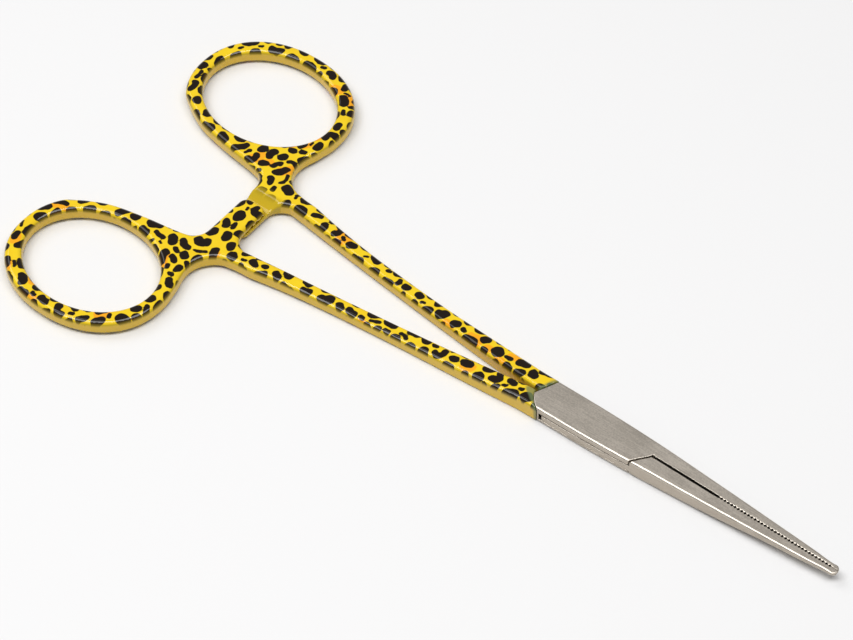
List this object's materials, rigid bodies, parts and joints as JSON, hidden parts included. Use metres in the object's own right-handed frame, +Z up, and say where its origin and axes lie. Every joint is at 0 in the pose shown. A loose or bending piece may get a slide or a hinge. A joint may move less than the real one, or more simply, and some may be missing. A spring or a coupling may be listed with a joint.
{
  "type": "locking haemostatic forceps",
  "caption": "Straight locking haemostatic forceps with a box-lock joint, serrated jaws, a ratchet and lacquered finger rings; one half swings open.",
  "frame": {"origin": "joint pin axis at the underside of the box lock, the plane that the instrument lies on", "axes": "+X towards the jaw tips, +Y towards the finger ring of the tongue half, +Z up along the joint pin"},
  "size_m": [0.1398, 0.0674, 0.0031],
  "materials": {
    "forged_steel": "satin brushed",
    "pin_steel": "satin brushed",
    "printed_lacquer": "glossy yellow lacquer with a dark animal print"
  },
  "bodies": {
    "box_body": {"box_half": "forged_steel", "joint_pin": "pin_steel", "box_half_lacquer": "printed_lacquer"},
    "tongue_body": {"tongue_half": "forged_steel", "tongue_half_lacquer": "printed_lacquer"}
  },
  "joints": [
    {"name": "box_lock_hinge", "type": "hinge", "parent": "box_body", "child": "tongue_body", "pos_m": [0, 0, 0.0015], "axis": [0, 0, -1], "range_deg": [0, 50]}
  ]
}
